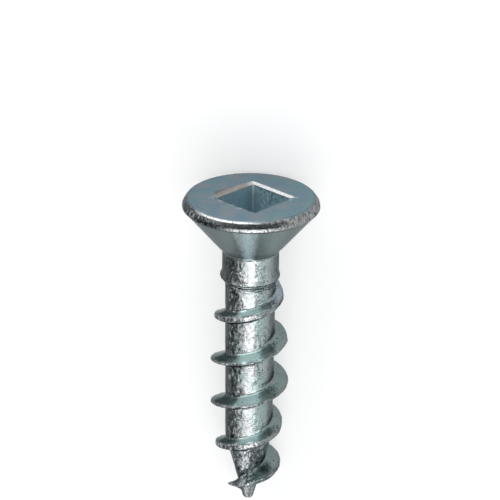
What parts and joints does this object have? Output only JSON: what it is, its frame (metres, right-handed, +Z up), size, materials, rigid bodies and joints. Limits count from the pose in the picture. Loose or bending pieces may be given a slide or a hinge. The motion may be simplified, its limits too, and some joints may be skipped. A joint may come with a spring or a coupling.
{
  "type": "flat head wood screw",
  "caption": "Short countersunk wood screw with a square drive, a raised ring under the neck, a coarse rolled thread and a gimlet-like point, in zinc-plated steel.",
  "frame": {"origin": "on the ground under the middle of the lying screw's bounding box", "axes": "+Z up; the axis of the screw lies in the YZ plane, with the head towards +Y and tilted up by the angle at which rim and thread both touch the ground"},
  "size_m": [0.0078, 0.0194, 0.0077],
  "materials": {
    "zinc_plated_steel": "bright zinc plating with a clear bluish passivation, uneven and slightly worn"
  },
  "bodies": {
    "root": {"wood_screw": "zinc_plated_steel"}
  },
  "joints": []
}
